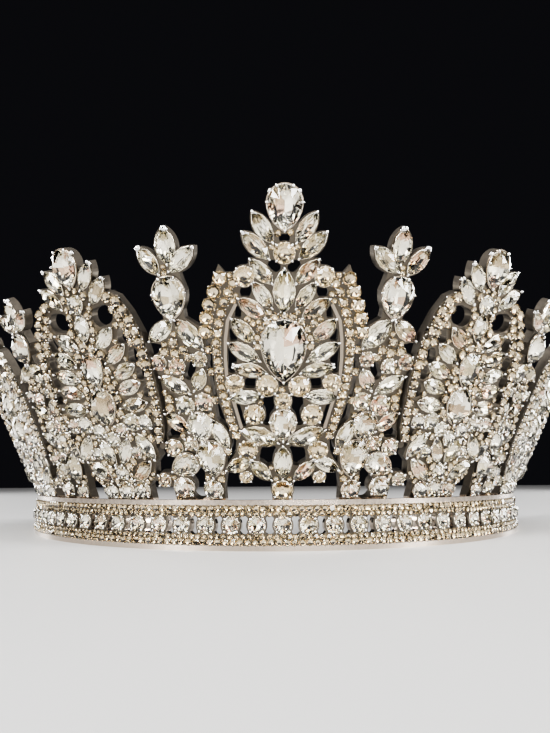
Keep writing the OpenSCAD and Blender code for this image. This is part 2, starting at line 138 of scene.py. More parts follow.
FINIAL_CORE = [
    [-6.1, -1], [6.2, -1], [6.4, 3], [7.6, 8], [8.4, 12.4], [8.6, 17], [6.8, 20.6], [6.6, 27],
    [6.2, 32], [6.3, 36], [6.7, 39.6], [5.6, 42], [2.5, 44.2], [2.4, 46.4], [3.6, 50],
    [2.9, 52.6], [2.6, 54], [2.4, 58], [-2, 58], [-2.4, 54], [-3.2, 52.6], [-4.1, 50],
    [-2.9, 46.4], [-2.5, 44.2], [-6.4, 40.6], [-6.5, 39.2], [-3.8, 38.4], [-5.2, 36.4],
    [-6.8, 35], [-6.6, 32.8], [-5.6, 31], [-5.3, 27], [-5.4, 21], [-6.4, 14.6], [-5, 11],
    [-5, 7.5], [-9.4, 7], [-9.6, 4.4], [-6.4, 3.4]]
# Small stones of a finial: across, up, diameter
FINIAL_SMALL = [
    [-1, 38.8, 2.3], [-3.4, 36.8, 2.3], [-0.9, 36.4, 2.3], [1.2, 36.9, 2.1], [2.1, 35.2, 1.9],
    [7.1, 36.6, 1.9], [7.0, 31.6, 1.9], [7.0, 25, 1.9], [8.6, 12.6, 2.0], [-6.4, 22.6, 1.9]]


def kind(n):
    return 0 if n == 0 else 1 if n % 2 else 2


def pick(n, front, finial, side):
    return (front, finial, side)[kind(n)]


def height(n):
    a = abs(n)
    return pick(n, FRONT_H, FINIAL_H - DROP * (a - 1) / 2, SIDE_H - DROP * (a - 2) / 2)


def rise(n):
    return height(n) / pick(n, FRONT_TOP, FINIAL_TOP, SIDE_TOP)


def gem(n):
    return min(UNIT, rise(n))


def spread(n):
    return (3 * UNIT + gem(n)) / 4


def halves(n, across):
    if kind(n) == 1:
        return (1,) if n < 0 else (-1,)
    return (1,) if across == 0 else (-1, 1)


def turn_z(angle):
    c, s = math.cos(math.radians(angle)), math.sin(math.radians(angle))
    return np.array([[c, -s, 0, 0], [s, c, 0, 0], [0, 0, 1, 0], [0, 0, 0, 1.0]])


def turn_x(angle):
    c, s = math.cos(math.radians(angle)), math.sin(math.radians(angle))
    return np.array([[1, 0, 0, 0], [0, c, -s, 0], [0, s, c, 0], [0, 0, 0, 1.0]])


def shift(x, y, z=0.0):
    m = np.eye(4)
    m[:3, 3] = x, y, z
    return m


def on_casting(n):
    """Face of casting n: X along it, Y up it, Z out of it."""
    return turn_z(n * BAY_ANGLE) @ shift(0, -CAST_R, BAND_H) @ turn_x(90 + FLARE)


def tilted(place, middle, lean_x, lean_y):
    """The place, leant a little about a point of it."""
    c, s = math.cos(math.radians(lean_y)), math.sin(math.radians(lean_y))
    turn_y = np.array([[c, 0, s, 0], [0, 1, 0, 0], [-s, 0, c, 0], [0, 0, 0, 1.0]])
    return place @ shift(*middle) @ turn_x(lean_x) @ turn_y @ shift(-middle[0], -middle[1])


def on_band(angle, z):
    return turn_z(angle) @ shift(0, -BAND_R, z) @ turn_x(90)


# Outlines, as points that go round to the left


def arc_shift(reach, r):
    return (reach * reach - r * r) / (2 * r)


def arc_half(reach, r, along):
    k = arc_shift(reach, r)
    return math.sqrt(max((k + r) ** 2 - along * along, 0)) - k


def round_outline(d, count=16):
    steps = [2 * math.pi * i / count for i in range(count)]
    return np.array([[d / 2 * math.cos(a), d / 2 * math.sin(a)] for a in steps])


def navette_outline(length, width, side=6):
    half = [length / 2 * math.cos(math.pi * i / side) for i in range(side)]
    up = [[x, arc_half(length / 2, width / 2, x)] for x in half]
    return np.array(up + [[-x, -y] for x, y in up])


def pear_outline(length, width, side=3, top=9):
    r = width / 2
    reach = length - r
    right = [[arc_half(reach, r, v), -v] for v in
             [reach * (1 - (i + 1) / (side + 1)) for i in range(side)]]
    arc = [[r * math.cos(a), r * math.sin(a)] for a in
           [math.pi * i / (top - 1) for i in range(top)]]
    left = [[-x, y] for x, y in reversed(right)]
    return np.array([[0, -reach]] + right + arc + left)


def bar_outline(length, width, count=8):
    ends = []
    for sign in (1, -1):
        for i in range(count + 1):
            a = math.pi * i / count - math.pi / 2
            ends.append([sign * ((length - width) / 2 + width / 2 * math.cos(a)),
                         sign * width / 2 * math.sin(a)])
    return np.array(ends)


def apply2(m, points):
    return points @ m[:2, :2].T + m[:2, 3]


# Meshes


class Build:
    """Many small meshes gathered into one."""

    def __init__(self):
        self.points, self.faces, self.slots, self.tints = [], [], [], []
        self.count = 0

    def add(self, place, points, faces, slots=None, tints=None):
        points = np.asarray(points, float)
        self.points.append(points @ place[:3, :3].T + place[:3, 3])
        self.faces += [tuple(self.count + i for i in f) for f in faces]
        self.slots += slots or [0] * len(faces)
        self.tints += tints or [0.0] * len(faces)
        self.count += len(points)

    def make(self, name, materials, slot, smooth=False):
        mesh = bpy.data.meshes.new(name)
        mesh.from_pydata((np.concatenate(self.points) * MM).tolist(), [], self.faces)
        for material in materials:
            mesh.materials.append(material)
        mesh.polygons.foreach_set("material_index", self.slots)
        mesh.polygons.foreach_set("use_smooth", [smooth] * len(self.faces))
        tint = mesh.attributes.new("tint", "FLOAT", "FACE")
        tint.data.foreach_set("value", self.tints)
        mesh.update()
        obj = bpy.data.objects.new(name, mesh)
        bpy.context.scene.collection.objects.link(obj)
        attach(obj, "root")
        return obj


GLASS_SLOT, FOIL_SLOT, CUP_SLOT = 0, 1, 2


def cut_stone(build, place, outline, spine, width, rng, z=0.0, warm=0.0,
              table_share=(0.5, 0.5)):
    """A cut stone: table, star, kite and girdle facets over a foiled back with a keel.

    The spine's two points are the ends of the keel, and the table lies round its middle."""
    count = len(outline) // 2
    spine = np.asarray(spine, float)
    middle = spine.mean(0)
    floor = SEAT_CLEAR - SEAT_DEPTH
    top = GIRDLE + z
    crown = CROWN_SHARE * width
    even, odd = outline[0::2], outline[1::2]

    def level(points, share, height_z):
        flat = middle + share * (points - middle)
        return [[p[0], p[1], height_z] for p in flat]

    def back_point(p, share, height_z):
        step = spine[1] - spine[0]
        t = ((p + middle) / 2 - spine[0]) @ step / max(step @ step, 1e-9)
        q = spine[0] + min(1, max(0, t)) * step
        q = q + share * (p - q)
        return [q[0], q[1], height_z]

    points = level(outline, 1, top)
    points += level(outline, 1, top - 0.1 * min(1, width / 3))
    points += level(even, np.array(table_share), top + crown)
    points += level(odd, 0.83, top + 0.5 * crown)
    points += [back_point(p, BACK_SHARE, BACK_DEPTH * floor) for p in outline]
    points += [back_point(p, 0, floor) for p in outline]
    ring, low, table, star, back, keel = (k * count for k in (0, 2, 4, 5, 6, 8))
    faces, slots, tints = [[table + i for i in range(count)]], [GLASS_SLOT], [0.0]

    def put(face, slot, tint=0.0):
        faces.append(face)
        slots.append(slot)
        tints.append(tint)

    for i in range(count):
        j = (i + 1) % count
        a, b, c = 2 * i, 2 * i + 1, (2 * i + 2) % (2 * count)
        put([table + i, star + i, table + j], GLASS_SLOT)
        put([table + i, ring + a, star + i], GLASS_SLOT)
        put([table + j, star + i, ring + c], GLASS_SLOT)
        put([star + i, ring + a, ring + b], GLASS_SLOT)
        put([star + i, ring + b, ring + c], GLASS_SLOT)
        for p, q in ((a, b), (b, c)):
            put([low + p, low + q, ring + q, ring + p], FOIL_SLOT, warm)
        tint = min(1.0, warm + rng.random() ** 2)
        for upper, lower, other in ((low, back, warm), (back, keel, tint)):
            put([upper + b, upper + a, lower + a, lower + b], FOIL_SLOT, tint)
            put([upper + c, upper + b, lower + b, lower + c], FOIL_SLOT, other)
    build.add(place, points, faces, slots, tints)


def small_stone(build, place, d, rng, warm=0.5, sides=8, z=0.0):
    """A pave stone in a low cup: a table and one ring of facets over a foiled point."""
    r = d / 2
    points = []
    for share, up, turn in ((1, 0.26, 0), (0.64, 0.44, 0.5), (0.6, 0.08, 0.5), (0.96, 0.0, 0)):
        for i in range(sides):
            a = 2 * math.pi * (i + turn) / sides
            points.append([share * r * math.cos(a), share * r * math.sin(a), z + up * d])
    points.append([0, 0, z + 0.02 * d])
    top, back, foot, tip = sides, 2 * sides, 3 * sides, 4 * sides
    faces, slots, tints = [[top + i for i in range(sides)]], [GLASS_SLOT], [0.0]
    for i in range(sides):
        j = (i + 1) % sides
        tint = min(1.0, max(0.0, warm + 0.6 * (rng.random() - 0.5)))
        for face, slot in (([i, j, top + i], GLASS_SLOT), ([j, top + j, top + i], GLASS_SLOT),
                           ([j, i, back + i], FOIL_SLOT), ([back + j, j, back + i], FOIL_SLOT),
                           ([back + j, back + i, tip], FOIL_SLOT),
                           ([foot + i, foot + j, j, i], CUP_SLOT)):
            faces.append(face)
            slots.append(slot)
            tints.append(tint)
    build.add(place, points, faces, slots, tints)


def ring_mesh(build, place, outline, profile):
    """A closed strip round an outline; the profile's points are (outwards, up)."""
    along = np.roll(outline, -1, 0) - outline
    along /= np.linalg.norm(along, axis=1)[:, None]
    before = np.roll(along, 1, 0)
    out = np.stack([along[:, 1] + before[:, 1], -along[:, 0] - before[:, 0]], 1)
    size = np.linalg.norm(out, axis=1)[:, None]
    out = out / size * np.minimum(2 / np.maximum(size, 0.2), 1.5)
    count, steps = len(outline), len(profile)
    points = [[*(p + o * v), z] for p, v in zip(outline, out) for o, z in profile]
    faces = []
    for i in range(count):
        j = (i + 1) % count
        for k in range(steps):
            m = (k + 1) % steps
            faces.append([i * steps + k, j * steps + k, j * steps + m, i * steps + m])
    build.add(place, points, faces)


def bead(build, place, x, y, z, rx, ry, rz, sides=6, rings=4, turn=0.0):
    """An egg-shaped bead: a claw's tip or a ball."""
    points, faces = [], []
    c, s = math.cos(turn), math.sin(turn)
    for k in range(1, rings):
        a = math.pi * k / rings
        for i in range(sides):
            b = 2 * math.pi * (i + 0.5 * (k % 2)) / sides
            u, v = rx * math.sin(a) * math.cos(b), ry * math.sin(a) * math.sin(b)
            points.append([x + c * u - s * v, y + s * u + c * v, z + rz * math.cos(a)])
    low, top = len(points), len(points) + 1
    points += [[x, y, z - rz], [x, y, z + rz]]
    for i in range(sides):
        j = (i + 1) % sides
        faces.append([top, i, j])
        for k in range(rings - 2):
            a, b, c2, d = k * sides + i, k * sides + j, (k + 1) * sides + i, (k + 1) * sides + j
            faces.append([a, c2, d, b])
        last = (rings - 2) * sides
        faces.append([low, last + j, last + i])
    build.add(place, points, faces)


def cup(build, place, outline, middle, depth):
    """The back of a stone's setting: a low dome behind the casting."""
    middle = np.asarray(middle, float)
    points = []
    for share, z in ((0.96, 0.05), (0.78, -0.55 * depth), (0.4, -depth)):
        for p in middle + share * (outline - middle):
            points.append([p[0], p[1], z - CAST_T])
    count = len(outline)
    faces = [[2 * count + i for i in reversed(range(count))], list(range(count))]
    for level in (0, count):
        for i in range(count):
            j = (i + 1) % count
            faces.append([level + i, level + count + i, level + count + j, level + j])
    build.add(place, points, faces)


# Section of the thin rim round a stone: outwards, up
RIM = [(-0.1, -0.9), (0.05, -0.9), (0.1, 0.12), (0.04, 0.22), (-0.04, 0.18)]


def inside(points, polygon):
    """Which points lie in a polygon."""
    result = np.zeros(len(points), bool)
    x, y = points[:, 0], points[:, 1]
    for (x1, y1), (x2, y2) in zip(polygon, np.roll(polygon, -1, 0)):
        cross = (y1 > y) != (y2 > y)
        at = x1 + (y - y1) * (x2 - x1) / (y2 - y1 if y2 != y1 else 1)
        result ^= cross & (x < at)
    return result


def distance(points, polygon):
    """Distance from each point to a polygon's edge."""
    best = np.full(len(points), 1e9)
    for a, b in zip(polygon, np.roll(polygon, -1, 0)):
        ab = b - a
        t = np.clip(((points - a) @ ab) / max(ab @ ab, 1e-12), 0, 1)
        best = np.minimum(best, np.linalg.norm(points - a - t[:, None] * ab, axis=1))
    return best


def fill_points(core, blocked, sizes, margin=-0.1):
    """Places for small stones on what is left of a casting's face, the largest first."""
    low, high = core.min(0), core.max(0)
    step = 0.3
    xs, ys = np.arange(low[0], high[0], step), np.arange(max(low[1], 0.3), high[1], step)
    grid = np.stack(np.meshgrid(xs, ys), -1).reshape(-1, 2)
    grid = grid[inside(grid, core)]
    room = distance(grid, core)
    for shape in blocked:
        lo, hi = shape.min(0) - 2, shape.max(0) + 2
        near = ((grid > lo) & (grid < hi)).all(1)
        gap = distance(grid[near], shape)
        gap[inside(grid[near], shape)] = 0
        room[near] = np.minimum(room[near], gap)
    found = []
    for d in sizes:
        for i in np.nonzero(room >= d / 2 + margin)[0]:
            if room[i] < d / 2 + margin:
                continue
            found.append((grid[i, 0], grid[i, 1], d))
            room = np.minimum(room, np.linalg.norm(grid - grid[i], axis=1) - d / 2)
    return found


def along_course(points, pitch):
    """Places at an even pitch along a course of points."""
    points = np.asarray(points, float)
    steps = np.linalg.norm(np.diff(points, axis=0), axis=1)
    total = steps.sum()
    count = max(1, round(total / pitch))
    marks = np.linspace(0, total, count + 1)
    reached = np.concatenate([[0], np.cumsum(steps)])
    return [np.array([np.interp(m, reached, points[:, 0]), np.interp(m, reached, points[:, 1])])
            for m in marks]


# Materials


def new_material(name):
    material = bpy.data.materials.new(name)
    material.use_nodes = True
    tree = material.node_tree
    return material, tree, tree.nodes["Principled BSDF"]


def node(tree, kind_name, **values):
    made = tree.nodes.new(kind_name)
    for key, value in values.items():
        setattr(made, key, value)
    return made


def math_node(tree, operation, a, b=None):
    made = node(tree, "ShaderNodeMath", operation=operation)
    for socket, value in zip(made.inputs, (a, b)):
        if value is None:
            continue
        if isinstance(value, (int, float)):
            socket.default_value = value
        else:
            tree.links.new(value, socket)
    return made.outputs[0]


def map_range(tree, value, low, high, to_low, to_high):
    made = node(tree, "ShaderNodeMapRange", interpolation_type="SMOOTHSTEP")
    tree.links.new(value, made.inputs["Value"])
    for name, number in (("From Min", low), ("From Max", high),
                         ("To Min", to_low), ("To Max", to_high)):
        made.inputs[name].default_value = number
    return made.outputs["Result"]


def mix_colour(tree, factor, a, b):
    made = node(tree, "ShaderNodeMix", data_type="RGBA")
    tree.links.new(factor, made.inputs["Factor"])
    for socket, value in ((made.inputs["A"], a), (made.inputs["B"], b)):
        if isinstance(value, tuple):
            socket.default_value = value
        else:
            tree.links.new(value, socket)
    return made.outputs["Result"]


# Plating; metal between the stones, darkened as painted shade; other parts of the frame; ribs and
# collars; walls
SILVER = (0.88, 0.865, 0.845, 1)
PAINTED_SHADE = (0.09, 0.078, 0.062, 1)
ROSY = (0.54, 0.46, 0.38, 1)
RAISED = (0.34, 0.285, 0.225, 1)
SHADE = (0.08, 0.07, 0.058, 1)
# How much of the painted shade, and of the added roughness, the backs and the walls of the
# castings take
BACK_DULL_AND_SHADE, WALL_DULL_AND_SHADE = 0.35, 0.95
DULL_ROUGH, AWAY_ROUGH = 0.22, 0.3
# Where a face counts as a wall: how far it looks outwards from the crown's middle
WALL_FROM, WALL_TO = -70, -50


def silver_material(name, recessed, colour=SILVER):
    """Bright plated metal; the faces between the stones are duller, and darker with painted shade.
    """
    material, tree, shader = new_material(name)
    shader.inputs["Metallic"].default_value = 1.0
    noise = node(tree, "ShaderNodeTexNoise")
    noise.inputs["Scale"].default_value = 900
    noise.inputs["Detail"].default_value = 3
    geometry = node(tree, "ShaderNodeNewGeometry")
    tree.links.new(geometry.outputs["Position"], noise.inputs["Vector"])
    rough = map_range(tree, noise.outputs["Fac"], 0.3, 0.7, 0.1, 0.24)
    if recessed:
        def op(operation, a, b=None):
            return math_node(tree, operation, a, b)

        def parts(output):
            split = node(tree, "ShaderNodeSeparateXYZ")
            tree.links.new(geometry.outputs[output], split.inputs[0])
            return split.outputs

        x, y, z = parts("Position")
        nx, ny, nz = parts("True Normal")
        bay, lean = math.radians(BAY_ANGLE), math.radians(FLARE)
        # The casting is told by where its face looks
        azimuth = op("ARCTAN2", nx, op("MULTIPLY", ny, -1.0))
        axis = op("MULTIPLY", op("ROUND", op("DIVIDE", azimuth, bay)), bay)
        sine, cosine = op("SINE", axis), op("COSINE", axis)
        reach = op("SUBTRACT", op("MULTIPLY", x, sine), op("MULTIPLY", y, cosine))
        normal_reach = op("SUBTRACT", op("MULTIPLY", nx, sine), op("MULTIPLY", ny, cosine))
        facing = op("SUBTRACT", op("MULTIPLY", normal_reach, math.cos(lean)),
                    op("MULTIPLY", nz, math.sin(lean)))
        out = op("SUBTRACT",
                 op("MULTIPLY", op("SUBTRACT", reach, CAST_R * MM), math.cos(lean)),
                 op("MULTIPLY", op("SUBTRACT", z, BAND_H * MM), math.sin(lean)))
        front = map_range(tree, facing, 0.95, 0.99, 0, 1)
        face = op("MULTIPLY", front, map_range(tree, out, 0.1 * MM, 0.3 * MM, 1, 0))
        outwards = op("ADD", op("MULTIPLY", x, nx), op("MULTIPLY", y, ny))
        wall = map_range(tree, outwards, WALL_FROM * MM, WALL_TO * MM, BACK_DULL_AND_SHADE, WALL_DULL_AND_SHADE)
        side = op("MULTIPLY", op("SUBTRACT", 1.0, front), wall)
        above = map_range(tree, z, (BAND_H + 0.1) * MM, (BAND_H + 0.6) * MM, 0, 1)
        casting = op("MULTIPLY", above, op("ADD", face, side))
        radius = op("SQRT", op("ADD", op("MULTIPLY", x, x), op("MULTIPLY", y, y)))
        middle = op("ABSOLUTE", op("SUBTRACT", z, BAND_H / 2 * MM))
        edge = BAND_H / 2 - RIM_H
        band = op("MULTIPLY",
                  map_range(tree, radius, (BAND_R - 0.3) * MM, (BAND_R - 0.1) * MM, 0, 1),
                  map_range(tree, middle, (edge - 0.1) * MM, (edge + 0.05) * MM, 1, 0))
        # Where the metal gets rougher and is darkened with painted shade: the face between the
        # stones, the band's face, the backs and the walls
        dull_and_shaded = op("MAXIMUM", casting, band)
        # The walls are darker than real plating: the photo's gaps are dark
        edge_on = op("MULTIPLY", op("SUBTRACT", 1.0, front),
                     map_range(tree, outwards, WALL_FROM * MM, WALL_TO * MM, 0, 1))
        raised = op("MULTIPLY", above, op("SUBTRACT", front, face))
        colour = mix_colour(tree, raised, ROSY, RAISED)
        # Painted shade: the second colour, a near black metal, darkens the faces picked out above
        colour = mix_colour(tree, dull_and_shaded, colour, PAINTED_SHADE)
        colour = mix_colour(tree, op("MULTIPLY", above, edge_on), colour, SHADE)
        tree.links.new(colour, shader.inputs["Base Color"])
        rough = op("ADD", rough, op("MULTIPLY", dull_and_shaded, DULL_ROUGH))
        turned_away = op("MULTIPLY", above, op("SUBTRACT", 1.0, front))
        rough = op("ADD", rough, op("MULTIPLY", turned_away, AWAY_ROUGH))
    else:
        shader.inputs["Base Color"].default_value = colour
    tree.links.new(rough, shader.inputs["Roughness"])
    return material


def glass_material(name, colour):
    material, _, shader = new_material(name)
    shader.inputs["Base Color"].default_value = colour
    shader.inputs["Roughness"].default_value = 0.0
    shader.inputs["IOR"].default_value = 1.54
    shader.inputs["Transmission Weight"].default_value = 1.0
    return material


def foil_material(name, stops):
    """The mirror behind a stone; its tint runs through the stops, facet by facet."""
    material, tree, shader = new_material(name)
    shader.inputs["Metallic"].default_value = 1.0
    shader.inputs["Roughness"].default_value = 0.06
    tint = node(tree, "ShaderNodeAttribute", attribute_name="tint")
    ramp = node(tree, "ShaderNodeValToRGB")
    ramp.color_ramp.elements[0].position = stops[0][0]
    ramp.color_ramp.elements[0].color = stops[0][1]
    ramp.color_ramp.elements[1].position = stops[-1][0]
    ramp.color_ramp.elements[1].color = stops[-1][1]
    for place, colour in stops[1:-1]:
        ramp.color_ramp.elements.new(place).color = colour
    tree.links.new(tint.outputs["Fac"], ramp.inputs["Fac"])
    tree.links.new(ramp.outputs["Color"], shader.inputs["Base Color"])
    return material


silver = silver_material("silver_plate", False)
silver_frame = silver_material("silver_casting", True)
setting = silver_material("setting_metal", False, (0.66, 0.61, 0.52, 1))
crystal = glass_material("crystal", (0.955, 0.92, 0.83, 1))
champagne = glass_material("champagne_crystal", (0.93, 0.86, 0.71, 1))
foil = foil_material("clear_foil", [
    (0.0, (0.98, 0.965, 0.90, 1)), (0.3, (0.90, 0.87, 0.76, 1)), (0.5, (0.50, 0.45, 0.31, 1)),
    (0.75, (0.44, 0.35, 0.24, 1)), (1.0, (0.86, 0.60, 0.49, 1))])
pave_foil = foil_material("champagne_foil", [
    (0.0, (0.86, 0.79, 0.65, 1)), (0.5, (0.72, 0.64, 0.50, 1)), (1.0, (0.52, 0.44, 0.32, 1))])

for name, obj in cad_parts.items():
    if name == "frame":
        obj.data.materials.clear()
        obj.data.materials.append(silver_frame)

# Stones

STONES = [crystal, foil]
PAVE = [champagne, pave_foil, setting]
rng = random.Random(7)
side_name = {-1: "left", 1: "right"}
fields = {}
fine, pave, rims, claws, balls, cups = (Build() for _ in range(6))


def field(name):
    return fields.setdefault(name, Build())


def node_of(n, group, row):
    """The CAD node that a stone belongs to, or None for one of the fine stones."""
    a, k = abs(n), kind(n)
    place = side_name.get((n > 0) - (n < 0))
    if k == 0:
        if group == "pear":
            return ("front_crest_pear", "front_main_pear", "front_lower_pear")[row]
        return {"navette": "front_navettes", "round": "front_rounds"}[group]
    if k == 2:
        stem = f"{place}_peak_{a // 2}"
        if group == "pear":
            return stem + ("_crest_pear", "_main_pear", "_upper_pear")[row]
        if group == "navette" and (a == 2 or row < 4):
            return stem + "_navettes"
        return None
    stem = f"{place}_finial_{(a + 1) // 2}"
    if group == "pear" and row == 0:
        return stem + "_neck_pear"
    kept = {"navette": 9 if a == 1 else 5, "pear": 4 if a == 1 else 3,
            "round": 3 if a == 1 else 0}[group]
    return stem + "_stones" if row < kept else None


# How far a cut stone reaches over the metal round it, by kind of casting; a pear stone
# reaches over its collar
REACH, PEAR_REACH = (0.22, 0.25, 0.38), 0.3
# How much longer a pointed outline gets, as a multiple of its reach
POINT_REACH = 2.6
# Lean of a stone in degrees, of one wider than the limit, and of a navette across its width
LEAN, LARGE_LEAN, LARGE_WIDTH, NAVETTE_LEAN = 7, 2, 5, 0.6
# How far a pear is lifted out of its seat, and the most that another stone is
PEAR_LIFT, MOST_LIFT = 0.45, 0.35
# Half of a navette's keel and the two ends of a pear's, as shares of the stone
NAVETTE_KEEL, PEAR_KEEL_TOP, PEAR_KEEL_POINT = 0.27, 0.05, 0.55
PEAR_CLAWS = (0, 62, 118, 180)
EVEN_TABLE, NAVETTE_TABLE = (0.5, 0.5), (0.62, 0.4)
FINIAL_WARM = 0.3
# A claw's tip: the largest, its share of the stone's width, its height above the girdle
CLAW_MOST, CLAW_SHARE, CLAW_UP = 0.4, 0.12, 0.1
CUP_DEPTH = 0.12
# Room that a stone's rim takes from the pave
RIM_ROOM = 0.4


def set_stone(n, group, row, entry):
    """One stone of a casting on each of its halves, with its rim, claws and cup."""
    x, y = entry[0] * spread(n), entry[1] * rise(n)
    turn = entry[2] if group != "round" else 0
    reach = PEAR_REACH if group == "pear" else REACH[kind(n)]
    for half in halves(n, entry[0]):
        local = shift(half * x, y) @ turn_z(half * turn)
        name = node_of(n, group, row)
        target = field(name) if name else fine
        if group == "round":
            width = entry[2] * gem(n) + 2 * reach
            outline, spine = round_outline(width), ((0, 0), (0, 0))
            r = width / 2
            spots = [(r * math.cos(a), r * math.sin(a), a)
                     for a in (math.pi / 4 + i * math.pi / 2 for i in range(4))]
        else:
            length, width = entry[3] * gem(n) + POINT_REACH * reach, entry[4] * gem(n) + 2 * reach
            if group == "navette":
                outline = navette_outline(length, width)
                spine = ((-NAVETTE_KEEL * length, 0), (NAVETTE_KEEL * length, 0))
                spots = [(length / 2, 0, 0), (-length / 2, 0, math.pi)]
            else:
                outline = pear_outline(length, width)
                spine = ((0, PEAR_KEEL_TOP * width),
                         (0, PEAR_KEEL_POINT * (width / 2 - length)))
                spots = [(0, width / 2 - length, -math.pi / 2)]
                spots += [(width / 2 * math.cos(a), width / 2 * math.sin(a), a)
                          for a in (math.radians(v) for v in PEAR_CLAWS)]
        middle = np.mean(spine, 0)
        lift = PEAR_LIFT if group == "pear" else rng.uniform(0, MOST_LIFT)
        lean = LARGE_LEAN if width > LARGE_WIDTH else LEAN
        place = tilted(on_casting(n) @ local, middle, rng.uniform(-lean, lean),
                       rng.uniform(-lean, lean) * (NAVETTE_LEAN if group == "navette" else 1))
        cut_stone(target, place, outline, spine, width, rng, z=lift,
                  table_share=NAVETTE_TABLE if group == "navette" else EVEN_TABLE,
                  warm=FINIAL_WARM if group == "round" and kind(n) == 1 and row > 1 else 0.0)
        ring_mesh(rims, place, outline, [(o, v + lift) for o, v in RIM])
        for cx, cy, a in spots:
            size = min(CLAW_MOST, CLAW_SHARE * width)
            bead(claws, place, cx, cy, GIRDLE + lift + CLAW_UP, size * 1.2, size * 0.75, size,
                 turn=a)
        cup(cups, on_casting(n) @ local, outline[::2], middle, CUP_DEPTH * width)
        yield apply2(local, outline * (1 + RIM_ROOM / width))


def gap_outlines(n, table):
    for x, y, turn, length, width in table:
        for half in halves(n, x):
            local = shift(half * x * spread(n), y * rise(n)) @ turn_z(half * turn)
            yield apply2(local, bar_outline(length * spread(n), width * spread(n)))


def core_outline(n):
    table = np.array(pick(n, FRONT_CORE, FINIAL_CORE, SIDE_CORE), float)
    table = table * [spread(n), rise(n)]
    table[:, 1] = np.maximum(table[:, 1], 0)
    if kind(n) == 1:
        return table if n < 0 else (table * [-1, 1])[::-1]
    mirror = (table * [-1, 1])[::-1]
    return np.concatenate([table[1:-1], [table[-1]], mirror[1:-1], [table[0]]])


def rib_outlines(n):
    points = np.array(FRONT_RIB, float) * [spread(n), rise(n)]
    for half in (-1, 1):
        for a, b in zip(points, points[1:]):
            mid, step = (a + b) / 2 * [half, 1], (b - a) * [half, 1]
            angle = math.degrees(math.atan2(step[1], step[0]))
            yield apply2(shift(*mid) @ turn_z(angle),
                         bar_outline(np.linalg.norm(step) + RIB_W, RIB_W))


def round_at(x, y, d):
    return round_outline(d, 12) + [x, y]


# Lean of the pave in degrees, warmth of its foil, and places of the beads round a stone
PAVE_LEAN, COURSE_WARM, FILL_WARM = 9, 0.55, 0.45
BEAD_ANGLES, BEAD_UP, BEAD_R, BEAD_H = (0.6, 2.4, 3.8, 5.5), 0.3, 0.17, 0.22
# Room that a pave stone takes beyond its edge
PAVE_ROOM = 0.1
# Stones round the upper side of the main pear: height of the middle, radius, diameter,
# diameter that they block, and angles of one half
HALO_UP, HALO_R, HALO_D, HALO_ROOM = 38.2, 5.75, 1.75, 1.8
HALO_ANGLES = (90, 70, 50, 30, 10, -10)
# Diameters of the small stones that fill a casting, the largest first
SIDE_FILL, OTHER_FILL = (2.4, 2.0, 1.6, 1.3), (2.2, 1.8, 1.4, 1.2)


def set_pave(n, x, y, d, warm=COURSE_WARM, beads=True):
    """A pave stone of a casting, with four tiny beads round it where it has room."""
    place = on_casting(n) @ shift(x, y)
    tipped = tilted(place, (0, 0), rng.uniform(-PAVE_LEAN, PAVE_LEAN),
                    rng.uniform(-PAVE_LEAN, PAVE_LEAN))
    small_stone(pave, tipped, d, rng, warm=warm)
    if beads:
        for a in BEAD_ANGLES:
            bead(claws, place, 0.5 * d * math.cos(a), 0.5 * d * math.sin(a), BEAD_UP,
                 BEAD_R, BEAD_R, BEAD_H, sides=5, rings=3)


mirrored_fill = {}
for n in range(-LAST, LAST + 1):
    blocked = []
    for group, tables in (("navette", (FRONT_NAVETTES, FINIAL_NAVETTES, SIDE_NAVETTES)),
                          ("pear", (FRONT_PEARS, FINIAL_PEARS, SIDE_PEARS)),
                          ("round", (FRONT_ROUNDS, FINIAL_ROUNDS, SIDE_ROUNDS))):
        for row, entry in enumerate(pick(n, *tables)):
            blocked += list(set_stone(n, group, row, entry))
    gap_rows = pick(n, FRONT_GAPS, FINIAL_GAPS, SIDE_GAPS)
    if abs(n) > FULL_GAPS:
        gap_rows = gap_rows[:FAR_GAPS]
    blocked += list(gap_outlines(n, gap_rows))
    small = []
    if kind(n) == 1:
        small = [[x * halves(n, x)[0], y, d] for x, y, d in FINIAL_SMALL]
    else:
        for d, pitch, course in pick(n, FRONT_PAVE, [], SIDE_PAVE):
            for x, y in along_course(course, pitch):
                small += [[x, y, d], [-x, y, d]]
    for x, y, d in small:
        x, y, d = x * spread(n), y * rise(n), d * gem(n)
        set_pave(n, x, y, d)
        blocked.append(round_at(x, y, d + PAVE_ROOM))
    if kind(n) == 0:
        blocked += list(rib_outlines(n))
        for degrees in HALO_ANGLES:
            for half in ((1,) if degrees == 90 else (-1, 1)):
                a = math.radians(degrees)
                x, y = half * HALO_R * math.cos(a), HALO_UP * rise(0) + HALO_R * math.sin(a)
                set_pave(n, x, y, HALO_D)
                blocked.append(round_at(x, y, HALO_ROOM))
    core = core_outline(n)
    if n <= 0:
        mirrored_fill[n] = fill_points(core, blocked,
                                       SIDE_FILL if kind(n) == 2 else OTHER_FILL)
    for x, y, d in mirrored_fill[-abs(n)]:
        set_pave(n, x if n <= 0 else -x, y, d, warm=FILL_WARM, beads=False)

# The band: the middle row, and two rows of pave on each side of it
BAND_LEAN, BAND_PAVE_LEAN, BAND_RIM_GROWTH = 4, 8, 1.02
BAND_CLAW_UP, BAND_CLAW = 0.42, (0.42, 0.3, 0.3)
